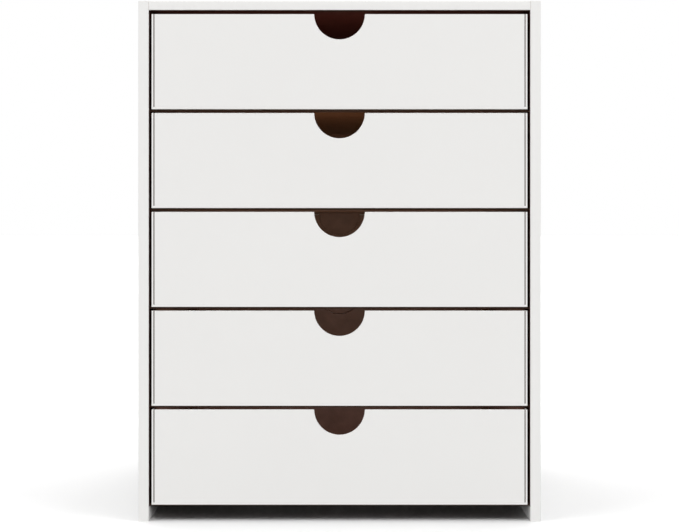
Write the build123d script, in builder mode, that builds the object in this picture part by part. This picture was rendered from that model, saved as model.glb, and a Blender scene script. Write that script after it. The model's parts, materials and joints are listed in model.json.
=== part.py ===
from build123d import *

import os

# Chest of five drawers, in millimetres. +Z is up, and the drawer fronts face -Y.
# The origin is on the floor, under the middle of the case.

# Case
case_width = 580.0
case_depth = 400.0
case_height = 750.0
side_thickness = 15.0
top_thickness = 13.0
arris_radius = 0.8

# Thin board of the drawers, the shelves and the back panel
board = 3.2

# Drawers, counted from the top
drawer_count = 5
drawer_width = 542.0
drawer_height = 137.0
drawer_length = 393.0
drawer_setback = 1.0
drawer_gap = 5.6
notch_radius = 36.5

# Shelves that the drawers slide on, held in grooves in the two sides
shelf_setback = 9.0
shelf_drop = 0.2
groove_depth = 6.0
groove_play = 0.1
shelf_end_play = 0.3

# Back panel, nailed into a rebate along the rear of the sides and the top
back_recess = 1.0
side_rebate = 7.5
top_rebate = 6.5
back_play = 0.5
back_floor_gap = 4.0

# Rails across the base, clear of the floor
rail_thickness = 15.0
rail_floor_gap = 2.0
front_rail_setback = 90.0

# Wooden dowels
dowel_radius = 3.0
dowel_length = 30.0
dowel_in_side = 9.5
dowel_spare = 0.5
dowel_chamfer = 0.8
top_dowel_places = (-170.0, 0.0, 170.0)
rail_dowel_spacing = 9.0

# Cam fittings between the sides and the top
cam_places = (-140.0, 140.0)
cam_radius = 5.9
cam_height = 9.4
cam_inset = 24.0
cam_channel = 6.8
cam_reach = 3.4
cam_cross_length = 7.0
cam_cross_width = 1.4
cam_cross_depth = 1.5
bolt_thread_radius = 2.5
bolt_shank_radius = 2.2
bolt_neck_radius = 1.5
bolt_head_radius = 3.1
bolt_head_length = 2.4
bolt_neck_length = 3.0
bolt_bore_radius = 3.3

# Nails of the back panel
nail_radius = 0.8
nail_length = 16.0
nail_head_radius = 2.0
nail_head_thickness = 0.8
nail_tip = 0.6
nail_rise = 36.0
nail_row_places = (-240.0, -120.0, 0.0, 120.0, 240.0)

# Posts inside the corners of a drawer, and the screws that hold its bottom to them
post_size = 12.0
post_chamfer = 5.0
post_below_rim = 10.0
screw_radius = 1.5
screw_length = 16.0
screw_head_radius = 2.8
screw_head_height = 1.9
screw_cross_length = 3.2
screw_cross_width = 0.8
screw_cross_depth = 1.1

# Clearance around every nail, screw, dowel and fitting in its hole
hole_play = 0.05

# Worked out from the sizes above
interior_half = case_width / 2 - side_thickness
front_y = -case_depth / 2
rear_y = case_depth / 2
ceiling = case_height - top_thickness
drawer_pitch = drawer_height + drawer_gap
drawer_numbers = range(1, drawer_count + 1)
drawer_front_y = front_y + drawer_setback
drawer_rear_y = drawer_front_y + drawer_length
drawer_inner_half = drawer_width / 2 - board
back_outer_y = rear_y - back_recess
back_inner_y = back_outer_y - board
shelf_front_y = front_y + shelf_setback
shelf_depth = back_inner_y - shelf_front_y
shelf_mid_y = (back_inner_y + shelf_front_y) / 2
rail_top = ceiling - drawer_count * drawer_pitch - shelf_drop - board
rail_mid_z = (rail_top + rail_floor_gap) / 2
front_rail_y = front_y + front_rail_setback + rail_thickness / 2
rear_rail_y = back_inner_y - rail_thickness / 2
top_mid_z = ceiling + top_thickness / 2
dowel_in_board = dowel_length - dowel_in_side
sides = {"left": -1, "right": 1}

top_dowel_points = [(y, top_mid_z) for y in top_dowel_places]
rail_dowel_points = [
    (y, rail_mid_z + step * rail_dowel_spacing / 2)
    for y in (front_rail_y, rear_rail_y)
    for step in (-1, 1)
]
cam_points = [(y, top_mid_z) for y in cam_places]
top_nail_points = [(x, ceiling + top_rebate / 2) for x in nail_row_places]
rail_nail_points = [(x, rail_mid_z) for x in nail_row_places]


def drawer_floor(number):
    """Height of the underside of a drawer."""
    return ceiling - number * drawer_pitch


def shelf_underside(number):
    """Height of the underside of the shelf that carries a drawer."""
    return drawer_floor(number) - shelf_drop - board


def side_nail_points(side):
    """Two nails beside each drawer, clear of the shelf grooves, as (x, z)."""
    nail_x = side * (interior_half + side_rebate / 2)
    middles = [drawer_floor(number) + drawer_height / 2 for number in drawer_numbers]
    return [(nail_x, z + step * nail_rise) for z in middles for step in (-1, 1)]


def save(piece, name):
    """Label a finished piece and write it to its own file."""
    piece.part.label = name
    export_step(piece.part, f"parts/{name}.step")


def add_rods(plane, points, radius, length):
    """Round rods at the points of a plane, added to the part being built."""
    with BuildSketch(plane) as ends:
        with Locations(*points):
            Circle(radius)
    extrude(ends.sketch, amount=length)


def cut_holes(plane, points, radius, depth):
    """Round holes at the points of a plane, cut from the part being built."""
    with BuildSketch(plane) as mouths:
        with Locations(*points):
            Circle(radius + hole_play)
    extrude(mouths.sketch, amount=depth, mode=Mode.SUBTRACT)


def build_side_panel(name, side):
    """One full-height side, with grooves for the shelves and a rebate for the back."""
    inner_face = Plane.YZ.offset(side * interior_half)
    groove_points = [(shelf_mid_y, shelf_underside(n) + board / 2) for n in drawer_numbers]
    with BuildPart() as panel:
        with BuildSketch(Plane.XY):
            with Locations((side * (case_width - side_thickness) / 2, 0)):
                Rectangle(side_thickness, case_depth)
        extrude(amount=case_height)
        fillet(panel.edges().filter_by(Axis.Z).group_by(Axis.Y)[0], arris_radius)
        with BuildSketch(inner_face):
            with Locations(*groove_points):
                Rectangle(shelf_depth, board + 2 * groove_play)
        extrude(amount=side * groove_depth, mode=Mode.SUBTRACT)
        with BuildSketch(Plane.XY):
            with Locations((side * (interior_half + side_rebate / 2), rear_y)):
                Rectangle(side_rebate, 2 * (rear_y - back_inner_y))
        extrude(amount=ceiling + top_rebate, mode=Mode.SUBTRACT)
        dowel_hole = side * (dowel_in_side + dowel_spare)
        cut_holes(inner_face, top_dowel_points + rail_dowel_points, dowel_radius, dowel_hole)
        cut_holes(inner_face, cam_points, bolt_thread_radius, dowel_hole)
        rebate_face = Plane.XZ.offset(-back_inner_y)
        cut_holes(rebate_face, side_nail_points(side), nail_radius, nail_length - board)
    save(panel, name)


def build_top_panel():
    """The top, between the two sides, drilled for its dowels and cam fittings."""
    underside = Plane.XY.offset(ceiling)
    with BuildPart() as panel:
        with BuildSketch(underside):
            Rectangle(2 * interior_half, case_depth)
        extrude(amount=top_thickness)
        fillet(panel.edges().filter_by(Axis.X).group_by(Axis.Y)[0], arris_radius)
        with BuildSketch(underside):
            with Locations((0, rear_y)):
                Rectangle(2 * interior_half, 2 * (rear_y - back_inner_y))
        extrude(amount=top_rebate, mode=Mode.SUBTRACT)
        for side in sides.values():
            end = Plane.YZ.offset(side * interior_half)
            dowel_hole = -side * (dowel_in_board + dowel_spare)
            cut_holes(end, top_dowel_points, dowel_radius, dowel_hole)
            cut_holes(end, cam_points, bolt_bore_radius, -side * (cam_inset + cam_reach))
        cam_centres = [(s * (interior_half - cam_inset), y) for s in sides.values() for y in cam_places]
        cut_holes(underside, cam_centres, cam_radius, cam_height + hole_play)
        rebate_face = Plane.XZ.offset(-back_inner_y)
        cut_holes(rebate_face, top_nail_points, nail_radius, nail_length - board)
    save(panel, "top_panel")


def build_back_panel():
    """The thin back, drilled for every nail."""
    panel_width = 2 * (interior_half + side_rebate - back_play)
    panel_height = ceiling + top_rebate - back_play - back_floor_gap
    nails = top_nail_points + rail_nail_points + side_nail_points(-1) + side_nail_points(1)
    outer_face = Plane.XZ.offset(-back_outer_y)
    with BuildPart() as panel:
        with BuildSketch(outer_face):
            with Locations((0, back_floor_gap)):
                Rectangle(panel_width, panel_height, align=(Align.CENTER, Align.MIN))
        extrude(amount=board)
        cut_holes(outer_face, nails, nail_radius, board)
    save(panel, "back_panel")


def build_nails():
    """All the nails of the back panel, heads on its outer face."""
    nails = top_nail_points + rail_nail_points + side_nail_points(-1) + side_nail_points(1)
    with BuildPart() as group:
        add_rods(Plane.XZ.offset(-back_outer_y), nails, nail_radius, nail_length)
        chamfer(group.faces().sort_by(Axis.Y)[: len(nails)].edges(), nail_tip)
        head_face = Plane.XZ.offset(-back_outer_y - nail_head_thickness)
        add_rods(head_face, nails, nail_head_radius, nail_head_thickness)
    save(group, "back_panel_nails")


def build_rail(name, middle_y, nail_points):
    """A rail across the base, which stands on dowels between the two sides."""
    with BuildPart() as rail:
        with BuildSketch(Plane.XY.offset(rail_floor_gap)):
            with Locations((0, middle_y)):
                Rectangle(2 * interior_half, rail_thickness)
        extrude(amount=rail_top - rail_floor_gap)
        for side in sides.values():
            end = Plane.YZ.offset(side * interior_half)
            own_dowels = [(y, z) for y, z in rail_dowel_points if y == middle_y]
            cut_holes(end, own_dowels, dowel_radius, -side * (dowel_in_board + dowel_spare))
        if nail_points:
            rear_face = Plane.XZ.offset(-back_inner_y)
            cut_holes(rear_face, nail_points, nail_radius, nail_length - board)
    save(rail, name)


def build_shelf(number):
    """One thin shelf, its two ends in the grooves of the sides."""
    shelf_width = 2 * (interior_half + groove_depth - shelf_end_play)
    with BuildPart() as shelf:
        with BuildSketch(Plane.XY.offset(shelf_underside(number))):
            with Locations((0, shelf_mid_y)):
                Rectangle(shelf_width, shelf_depth)
        extrude(amount=board)
    save(shelf, f"shelf_{number}")


def build_dowels():
    """The dowels of the top and of both rails."""
    with BuildPart() as dowels:
        for side in sides.values():
            start = Plane.YZ.offset(side * (interior_half + dowel_in_side))
            add_rods(start, top_dowel_points + rail_dowel_points, dowel_radius, -side * dowel_length)
        chamfer(dowels.edges().filter_by(GeomType.CIRCLE), dowel_chamfer)
    save(dowels, "dowels")


def build_cam_bolts():
    """Bolts that screw into the sides and are held in the top by the cams."""
    cam_x = interior_half - cam_inset
    steps = (
        (interior_half + dowel_in_side, bolt_thread_radius, dowel_in_side),
        (interior_half, bolt_shank_radius, cam_inset - bolt_neck_length),
        (cam_x + bolt_neck_length, bolt_neck_radius, bolt_neck_length),
        (cam_x, bolt_head_radius, bolt_head_length),
    )
    with BuildPart() as bolts:
        for side in sides.values():
            for start, radius, length in steps:
                add_rods(Plane.YZ.offset(side * start), cam_points, radius, -side * length)
    save(bolts, "cam_bolts")


def build_cam_locks():
    """Round cams in the underside of the top, each open on one side for its bolt."""
    underside = Plane.XY.offset(ceiling)
    with BuildPart() as cams:
        for side in sides.values():
            cam_x = side * (interior_half - cam_inset)
            add_rods(underside, [(cam_x, y) for y in cam_places], cam_radius, cam_height)
            channel_x = cam_x + side * (cam_radius - cam_reach) / 2
            with Locations(*[(channel_x, y, top_mid_z) for y in cam_places]):
                Box(cam_radius + cam_reach, cam_channel, cam_channel, mode=Mode.SUBTRACT)
            with Locations(*[(cam_x, y, ceiling) for y in cam_places]):
                Box(cam_cross_length, cam_cross_width, 2 * cam_cross_depth, mode=Mode.SUBTRACT)
                Box(cam_cross_width, cam_cross_length, 2 * cam_cross_depth, mode=Mode.SUBTRACT)
    save(cams, "cam_locks")


def build_drawer_end(name, number, outer_y, inward):
    """Front or back of a drawer: a plate between its sides, with a half-round notch."""
    floor = drawer_floor(number)
    with BuildPart() as plate:
        with BuildSketch(Plane.XZ.offset(-outer_y)):
            with Locations((0, floor + board)):
                Rectangle(
                    2 * drawer_inner_half, drawer_height - board, align=(Align.CENTER, Align.MIN)
                )
            with Locations((0, floor + drawer_height)):
                Circle(notch_radius, mode=Mode.SUBTRACT)
        extrude(amount=-inward * board)
    save(plate, name)


def build_drawer_side(name, number, side):
    """Side of a drawer, over the whole of its length."""
    with BuildPart() as wall:
        with BuildSketch(Plane.XY.offset(drawer_floor(number) + board)):
            with Locations((side * (drawer_width - board) / 2, drawer_front_y)):
                Rectangle(board, drawer_length, align=(Align.CENTER, Align.MIN))
        extrude(amount=drawer_height - board)
    save(wall, name)


def post_corners():
    """The four inside corners of a drawer, each with its directions inwards."""
    front_corner = drawer_front_y + board
    rear_corner = drawer_rear_y - board
    corners = []
    for side in sides.values():
        corners.append((side * drawer_inner_half, front_corner, -side, 1))
        corners.append((side * drawer_inner_half, rear_corner, -side, -1))
    return corners


def screw_centres():
    """Places of the bottom screws, in the middle of the corner posts."""
    half = post_size / 2
    return [(x + inward_x * half, y + inward_y * half) for x, y, inward_x, inward_y in post_corners()]


def build_corner_posts(name, number):
    """Four posts in the corners of a drawer, each with its inner edge cut off."""
    post_floor = Plane.XY.offset(drawer_floor(number) + board)
    with BuildPart() as posts:
        for x, y, inward_x, inward_y in post_corners():
            with BuildSketch(post_floor):
                with BuildLine():
                    Polyline(
                        (x, y),
                        (x + inward_x * post_size, y),
                        (x + inward_x * post_size, y + inward_y * (post_size - post_chamfer)),
                        (x + inward_x * (post_size - post_chamfer), y + inward_y * post_size),
                        (x, y + inward_y * post_size),
                        close=True,
                    )
                make_face()
            extrude(amount=drawer_height - board - post_below_rim)
        cut_holes(post_floor, screw_centres(), screw_radius, screw_length - board + hole_play)
    save(posts, name)


def build_drawer_bottom(name, number):
    """Bottom of a drawer, under all four walls, countersunk from below."""
    floor = drawer_floor(number)
    with BuildPart() as bottom:
        with BuildSketch(Plane.XY.offset(floor)):
            with Locations((0, drawer_front_y)):
                Rectangle(drawer_width, drawer_length, align=(Align.CENTER, Align.MIN))
        extrude(amount=board)
        cut_holes(Plane.XY.offset(floor), screw_centres(), screw_radius, board)
        with Locations(*[(x, y, floor) for x, y in screw_centres()]):
            Cone(
                screw_head_radius + hole_play,
                screw_radius + hole_play,
                screw_head_height + hole_play,
                align=(Align.CENTER, Align.CENTER, Align.MIN),
                mode=Mode.SUBTRACT,
            )
    save(bottom, name)


def build_drawer_screws(name, number):
    """Countersunk screws, up through the bottom into the corner posts."""
    floor = drawer_floor(number)
    head_places = [(x, y, floor) for x, y in screw_centres()]
    with BuildPart() as screws:
        add_rods(Plane.XY.offset(floor), screw_centres(), screw_radius, screw_length)
        with Locations(*head_places):
            Cone(
                screw_head_radius,
                screw_radius,
                screw_head_height,
                align=(Align.CENTER, Align.CENTER, Align.MIN),
            )
        with Locations(*head_places):
            Box(screw_cross_length, screw_cross_width, 2 * screw_cross_depth, mode=Mode.SUBTRACT)
            Box(screw_cross_width, screw_cross_length, 2 * screw_cross_depth, mode=Mode.SUBTRACT)
    save(screws, name)


def build_drawer(number):
    """All the pieces of one drawer."""
    name = f"drawer_{number}"
    build_drawer_end(f"{name}_front", number, drawer_front_y, 1)
    build_drawer_end(f"{name}_back", number, drawer_rear_y, -1)
    for side_name, side in sides.items():
        build_drawer_side(f"{name}_{side_name}_wall", number, side)
    build_drawer_bottom(f"{name}_bottom", number)
    build_corner_posts(f"{name}_corner_posts", number)
    build_drawer_screws(f"{name}_screws", number)


def build_case():
    """All the pieces of the case."""
    for side_name, side in sides.items():
        build_side_panel(f"{side_name}_side_panel", side)
    build_top_panel()
    build_back_panel()
    build_nails()
    build_rail("front_rail", front_rail_y, [])
    build_rail("rear_rail", rear_rail_y, rail_nail_points)
    for number in drawer_numbers:
        build_shelf(number)
    build_dowels()
    build_cam_bolts()
    build_cam_locks()


os.makedirs("parts", exist_ok=True)
build_case()
for drawer_number in drawer_numbers:
    build_drawer(drawer_number)
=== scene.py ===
"""Looks of a white chest of five thin-walled drawers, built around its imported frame."""

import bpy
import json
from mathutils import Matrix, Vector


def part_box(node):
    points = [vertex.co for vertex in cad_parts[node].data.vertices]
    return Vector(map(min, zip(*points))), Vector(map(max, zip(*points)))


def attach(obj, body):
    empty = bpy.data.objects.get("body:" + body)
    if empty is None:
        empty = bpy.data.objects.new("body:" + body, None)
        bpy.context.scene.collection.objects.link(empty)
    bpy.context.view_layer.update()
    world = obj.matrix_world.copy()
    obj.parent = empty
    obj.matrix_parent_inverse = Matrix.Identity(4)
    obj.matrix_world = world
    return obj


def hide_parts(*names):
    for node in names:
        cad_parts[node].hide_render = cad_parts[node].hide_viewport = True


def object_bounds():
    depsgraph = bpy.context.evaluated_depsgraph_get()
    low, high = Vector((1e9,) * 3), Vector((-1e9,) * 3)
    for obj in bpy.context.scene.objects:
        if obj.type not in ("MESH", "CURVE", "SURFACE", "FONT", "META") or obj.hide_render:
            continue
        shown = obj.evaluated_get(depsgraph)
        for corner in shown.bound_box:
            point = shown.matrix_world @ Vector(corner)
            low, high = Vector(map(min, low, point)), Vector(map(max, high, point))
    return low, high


bl_info = {
    "name": "Chest of Drawers Maker",
    "version": (1, 0, 0),
    "blender": (4, 5, 0),
    "location": "View3D > Sidebar > Chest",
    "description": "Builds the boards, fittings and studio of a white chest of five drawers",
    "category": "Add Mesh",
}

import json
import math

import bmesh
import bpy
from bpy.props import FloatProperty, FloatVectorProperty, IntProperty, PointerProperty
from mathutils import Vector

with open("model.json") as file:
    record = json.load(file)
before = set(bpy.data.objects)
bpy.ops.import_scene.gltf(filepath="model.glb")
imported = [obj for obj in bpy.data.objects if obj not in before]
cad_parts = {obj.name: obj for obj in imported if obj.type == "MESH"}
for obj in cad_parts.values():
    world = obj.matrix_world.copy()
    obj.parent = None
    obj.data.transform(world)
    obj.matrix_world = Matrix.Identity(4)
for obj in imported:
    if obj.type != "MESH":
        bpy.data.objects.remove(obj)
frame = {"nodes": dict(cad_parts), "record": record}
cad_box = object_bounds()

CASE = "case"
NODES = frame["nodes"]
BODY_NODES = frame["record"]["behaviour"]["bodies"]
BODY_OF = {node: body for body, nodes in BODY_NODES.items() for node in nodes}
DRAWERS = [body for body in BODY_NODES if body != CASE]
SHELVES = [node for node in BODY_NODES[CASE] if node.startswith("shelf_")]
SIDES = {"left": -1, "right": 1}

# Distances, angles and counts that only serve the mesh work, in metres and radians
MERGE_DISTANCE = 5e-6
SKIN = 0.001
FLAT_ANGLE = math.radians(0.5)
BOARD_SMOOTH_ANGLE = math.radians(6)
TURNED_SMOOTH_ANGLE = math.radians(32)
EDGE_ANGLE = math.radians(60)
SHORTEST_BOARD_EDGE = 0.0025
PLACE_DIGITS = 5
ARRIS_SEGMENTS = 2
ARRIS_PROFILE = 0.5
ARRIS_ATTRIBUTE = "arris"

# Share of the floor's paleness that bounced light sees
FLOOR_BOUNCE = 0.3

# Places of a board's finishes in its list of materials. Where sides meet, the first one wins.
FACE, INNER, RAW = 0, 1, 2


# Reading the frame

def copied_shape(node):
    """A clean copy of a CAD node: doubles merged, flat triangles joined into whole faces."""
    source = NODES[node].data
    shape = bmesh.new()
    corners = [shape.verts.new(vertex.co) for vertex in source.vertices]
    for triangle in source.polygons:
        shape.faces.new([corners[index] for index in triangle.vertices])
    bmesh.ops.remove_doubles(shape, verts=shape.verts, dist=MERGE_DISTANCE)
    bmesh.ops.dissolve_limit(shape, angle_limit=FLAT_ANGLE, verts=shape.verts, edges=shape.edges)
    return shape


def box_of(points):
    """Lowest and highest corner of some points."""
    low = Vector([min(point[axis] for point in points) for axis in range(3)])
    high = Vector([max(point[axis] for point in points) for axis in range(3)])
    return low, high


def solid_boxes(node):
    """Box of each separate solid of a CAD node, in order of place."""
    shape = copied_shape(node)
    waiting = set(shape.verts)
    boxes = []
    while waiting:
        reached = [waiting.pop()]
        island = []
        while reached:
            vertex = reached.pop()
            island.append(vertex.co.copy())
            neighbours = {edge.other_vert(vertex) for edge in vertex.link_edges} & waiting
            waiting -= neighbours
            reached.extend(neighbours)
        boxes.append(box_of(island))
    shape.free()
    return sorted(boxes, key=lambda box: [round(value, PLACE_DIGITS) for value in box[0]])


def measured_notch_radius(node):
    """Radius of the half-round notch in a drawer's front, from where it meets the rim."""
    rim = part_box(node)[1].z
    on_rim = [abs(v.co.x) for v in NODES[node].data.vertices if rim - v.co.z < MERGE_DISTANCE]
    return min(on_rim)


# Settings that a user would change

class ChestBoardSettings(bpy.types.PropertyGroup):
    """Edges, joints and notches of the boards."""

    arris: FloatProperty(
        name="Arris", description="Width of the eased edges of the case boards",
        default=0.0004, unit="LENGTH",
    )
    drawer_arris: FloatProperty(
        name="Drawer arris", description="Width of the eased edges of the thin drawer boards",
        default=0.0005, unit="LENGTH",
    )
    joint_arris: FloatProperty(
        name="Joint arris", description="Width of the eased edges where two boards meet",
        default=0.00012, unit="LENGTH",
    )
    top_joint: FloatProperty(
        name="Top joint", description="Open width of the butt joint at each end of the top",
        default=0.0001, unit="LENGTH",
    )
    drawer_joint: FloatProperty(
        name="Drawer joint", description="Open width of the joint beside a drawer's front or back",
        default=0.0005, unit="LENGTH",
    )
    notch_radius: FloatProperty(
        name="Notch radius", description="Radius of the finger notches",
        default=measured_notch_radius("drawer_1_front"), unit="LENGTH",
    )
    notch_steps: IntProperty(
        name="Notch steps", description="Straight steps that make up each half-round notch",
        default=72, min=8,
    )


class ChestFittingSettings(bpy.types.PropertyGroup):
    """Nails, dowels, cam fittings and screws."""

    nail_shank: FloatProperty(
        name="Nail shank", description="Radius of a back panel nail", default=0.0008, unit="LENGTH",
    )
    nail_point: FloatProperty(
        name="Nail point", description="Length of a nail's point", default=0.0018, unit="LENGTH",
    )
    nail_head: FloatProperty(
        name="Nail head", description="Height of a nail's domed head", default=0.0008, unit="LENGTH",
    )
    dowel_chamfer: FloatProperty(
        name="Dowel chamfer", description="Chamfer at the ends of a dowel", default=0.0008, unit="LENGTH",
    )
    dowel_flutes: IntProperty(
        name="Dowel flutes", description="Glue grooves round a dowel", default=14, min=4,
    )
    dowel_flute_depth: FloatProperty(
        name="Flute depth", description="Depth of a dowel's glue grooves", default=0.0003, unit="LENGTH",
    )
    bolt_shank: FloatProperty(
        name="Bolt shank", description="Radius of a cam bolt's plain shank", default=0.0022, unit="LENGTH",
    )
    bolt_neck: FloatProperty(
        name="Bolt neck", description="Radius of the neck that a cam grips", default=0.0015, unit="LENGTH",
    )
    bolt_neck_length: FloatProperty(
        name="Neck length", description="Length of a cam bolt's neck", default=0.003, unit="LENGTH",
    )
    bolt_head_length: FloatProperty(
        name="Bolt head length", description="Length of a cam bolt's head", default=0.0024, unit="LENGTH",
    )
    bolt_collar: FloatProperty(
        name="Bolt collar", description="Thickness of the collar that stops a cam bolt's thread",
        default=0.0008, unit="LENGTH",
    )
    bolt_pitch: FloatProperty(
        name="Bolt pitch", description="Pitch of a cam bolt's thread", default=0.0016, unit="LENGTH",
    )
    cam_channel: FloatProperty(
        name="Cam channel", description="Width of the channel that takes a bolt's head",
        default=0.0068, unit="LENGTH",
    )
    cam_reach: FloatProperty(
        name="Cam reach", description="How far the channel reaches past a cam's middle",
        default=0.0034, unit="LENGTH",
    )
    cam_edge: FloatProperty(
        name="Cam edge", description="Chamfer round a cam's two faces", default=0.0004, unit="LENGTH",
    )
    screw_radius: FloatProperty(
        name="Screw radius", description="Outer radius of a drawer screw's thread",
        default=0.0015, unit="LENGTH",
    )
    screw_head: FloatProperty(
        name="Screw head", description="Height of a drawer screw's countersunk head",
        default=0.0019, unit="LENGTH",
    )
    screw_pitch: FloatProperty(
        name="Screw pitch", description="Pitch of a drawer screw's thread", default=0.0013, unit="LENGTH",
    )
    cross_width: FloatProperty(
        name="Cross width", description="Width of the arms of a cross recess", default=0.0008, unit="LENGTH",
    )
    turn_seed: IntProperty(
        name="Turn seed", description="Seed for how far each fitting is turned", default=7,
    )


class ChestFinishSettings(bpy.types.PropertyGroup):
    """Colours of the finishes."""

    white: FloatVectorProperty(
        name="White", description="Satin white lacquer of the boards",
        default=(0.86, 0.853, 0.838), subtype="COLOR", min=0, max=1,
    )
    brown: FloatVectorProperty(
        name="Brown", description="Smooth face of the hardboard",
        default=(0.11, 0.055, 0.04), subtype="COLOR", min=0, max=1,
    )
    sawn_hardboard: FloatVectorProperty(
        name="Sawn hardboard", description="Cut edge of the hardboard",
        default=(0.075, 0.036, 0.02), subtype="COLOR", min=0, max=1,
    )
    sawn_fibreboard: FloatVectorProperty(
        name="Sawn fibreboard", description="Cut edge of the case boards",
        default=(0.44, 0.29, 0.17), subtype="COLOR", min=0, max=1,
    )
    beech: FloatVectorProperty(
        name="Beech", description="Planed beech of the dowels and posts",
        default=(0.62, 0.43, 0.27), subtype="COLOR", min=0, max=1,
    )
    zinc_plate: FloatVectorProperty(
        name="Zinc plate", description="Bright plating of the nails, bolts and screws",
        default=(0.68, 0.68, 0.66), subtype="COLOR", min=0, max=1,
    )
    zinc_casting: FloatVectorProperty(
        name="Zinc casting", description="Dull cast zinc of the cams",
        default=(0.6, 0.6, 0.6), subtype="COLOR", min=0, max=1,
    )
    floor: FloatVectorProperty(
        name="Floor", description="Pale studio floor",
        default=(0.8, 0.8, 0.8), subtype="COLOR", min=0, max=1,
    )


class ChestStudioSettings(bpy.types.PropertyGroup):
    """Camera and lights of the studio."""

    lens: FloatProperty(name="Lens", description="Focal length in millimetres", default=57.4)
    camera_distance: FloatProperty(
        name="Camera distance", description="From the camera to the front of the case",
        default=1.56, unit="LENGTH",
    )
    camera_height: FloatProperty(
        name="Camera height", description="Height of the level camera", default=0.4269, unit="LENGTH",
    )
    lens_shift: FloatProperty(
        name="Lens shift", description="Vertical shift of the lens, as a share of the sensor's width",
        default=-0.06,
    )
    dome: FloatProperty(name="Dome", description="Strength of the light from all round", default=0.15)
    chest_light: FloatProperty(
        name="Chest light", description="Strength of the lights on the chest", default=0.98,
    )
    floor_light: FloatProperty(
        name="Floor light", description="Strength of the lights on the floor", default=0.955,
    )
    drawer_light: FloatProperty(
        name="Drawer light", description="Power in watts of the light inside the lowest drawer",
        default=0.76,
    )


# Node trees

NOISE_MIDDLE = 0.5


class Sheet:
    """Short calls for the nodes of one tree, set out in rows."""

    row_length = 10
    column_width = 200
    row_height = 320

    def __init__(self, tree):
        self.tree = tree

    def place(self, kind, inputs=None, **settings):
        """A new node with its settings, and its inputs joined to sockets or set to values."""
        row, column = divmod(len(self.tree.nodes), self.row_length)
        node = self.tree.nodes.new(kind)
        node.location = (column * self.column_width, -row * self.row_height)
        for name, value in settings.items():
            setattr(node, name, value)
        for name, value in (inputs or {}).items():
            self.feed(node.inputs[name], value)
        return node

    def feed(self, socket, value):
        """Joins a socket to another one, or gives it a value."""
        if isinstance(value, bpy.types.NodeSocket):
            self.tree.links.new(value, socket)
        else:
            socket.default_value = value

    def give(self, node, **values):
        """Feeds a node's inputs, named with underscores for spaces."""
        for label, value in values.items():
            self.feed(node.inputs[label.replace("_", " ")], value)

    def math(self, operation, *values):
        """The result of a sum on one, two or three numbers."""
        node = self.place("ShaderNodeMath", operation=operation)
        for socket, value in zip(node.inputs, values):
            self.feed(socket, value)
        return node.outputs[0]

    def add(self, first, second):
        return self.math("ADD", first, second)

    def times(self, first, second):
        return self.math("MULTIPLY", first, second)

    def less(self, first, second):
        return self.math("SUBTRACT", first, second)

    def over(self, first, second):
        return self.math("DIVIDE", first, second)

    def vector(self, x=0.0, y=0.0, z=0.0):
        """A vector from three numbers."""
        return self.place("ShaderNodeCombineXYZ", {"X": x, "Y": y, "Z": z}).outputs[0]

    def parts(self, vector):
        """The three numbers of a vector."""
        return self.place("ShaderNodeSeparateXYZ", {"Vector": vector}).outputs

    def scaled(self, vector, factor):
        """A vector or colour times a number."""
        node = self.place("ShaderNodeVectorMath", {"Vector": vector, "Scale": factor}, operation="SCALE")
        return node.outputs["Vector"]

    def stretched(self, vector, factors):
        """A vector times another one, part by part."""
        inputs = {0: vector, 1: factors}
        return self.place("ShaderNodeVectorMath", inputs, operation="MULTIPLY").outputs[0]

    def rotated(self, vector, turn):
        """A vector turned by three angles."""
        return self.place("ShaderNodeMapping", {"Vector": vector, "Rotation": turn}).outputs[0]

    def tinted(self, colour, change):
        """A colour made lighter by a share of itself, or darker by a negative one."""
        return self.scaled(colour, self.add(1.0, change))

    def noise(self, place, scale, detail):
        """Soft noise from 0 to 1 about a middle of 0.5."""
        inputs = {"Vector": place, "Scale": scale, "Detail": detail}
        return self.place("ShaderNodeTexNoise", inputs).outputs["Fac"]

    def swing(self, place, scale, detail):
        """Soft noise about zero."""
        return self.less(self.noise(place, scale, detail), NOISE_MIDDLE)

    def bands(self, place, direction, scale, distortion, detail):
        """Soft bands from 0 to 1."""
        inputs = {"Vector": place, "Scale": scale, "Distortion": distortion, "Detail": detail}
        node = self.place("ShaderNodeTexWave", inputs, wave_type="BANDS", bands_direction=direction)
        return node.outputs["Fac"]

    def ramp(self, value, low, high, low_result=0.0, high_result=1.0):
        """A value's way from low to high, as a number between two results."""
        inputs = {"Value": value, "From Min": low, "From Max": high,
                  "To Min": low_result, "To Max": high_result}
        return self.place("ShaderNodeMapRange", inputs).outputs["Result"]

    def blend(self, share, first, second):
        """A colour between two others."""
        node = self.place("ShaderNodeMix", data_type="RGBA")
        self.feed(node.inputs["Factor"], share)
        colours = [socket for socket in node.inputs if socket.type == "RGBA"]
        self.feed(colours[0], first)
        self.feed(colours[1], second)
        return next(socket for socket in node.outputs if socket.type == "RGBA")


def new_tree(name, kind, inputs, outputs):
    """An empty node group with named sockets, as a sheet, its inputs and its output node."""
    tree = bpy.data.node_groups.new(name, kind)
    for label, socket_kind, default in inputs:
        socket = tree.interface.new_socket(label, in_out="INPUT", socket_type=socket_kind)
        if default is not None:
            socket.default_value = default
    for label, socket_kind in outputs:
        tree.interface.new_socket(label, in_out="OUTPUT", socket_type=socket_kind)
    sheet = Sheet(tree)
    sources = sheet.place("NodeGroupInput").outputs
    return sheet, sources, sheet.place("NodeGroupOutput")


VALUE = "NodeSocketFloat"
WHOLE = "NodeSocketInt"
VECTOR = "NodeSocketVector"
COLOUR = "NodeSocketColor"
GEOMETRY = "NodeSocketGeometry"
MATERIAL = "NodeSocketMaterial"
GREY = (0.5, 0.5, 0.5, 1.0)


# Effects that several finishes share

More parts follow.
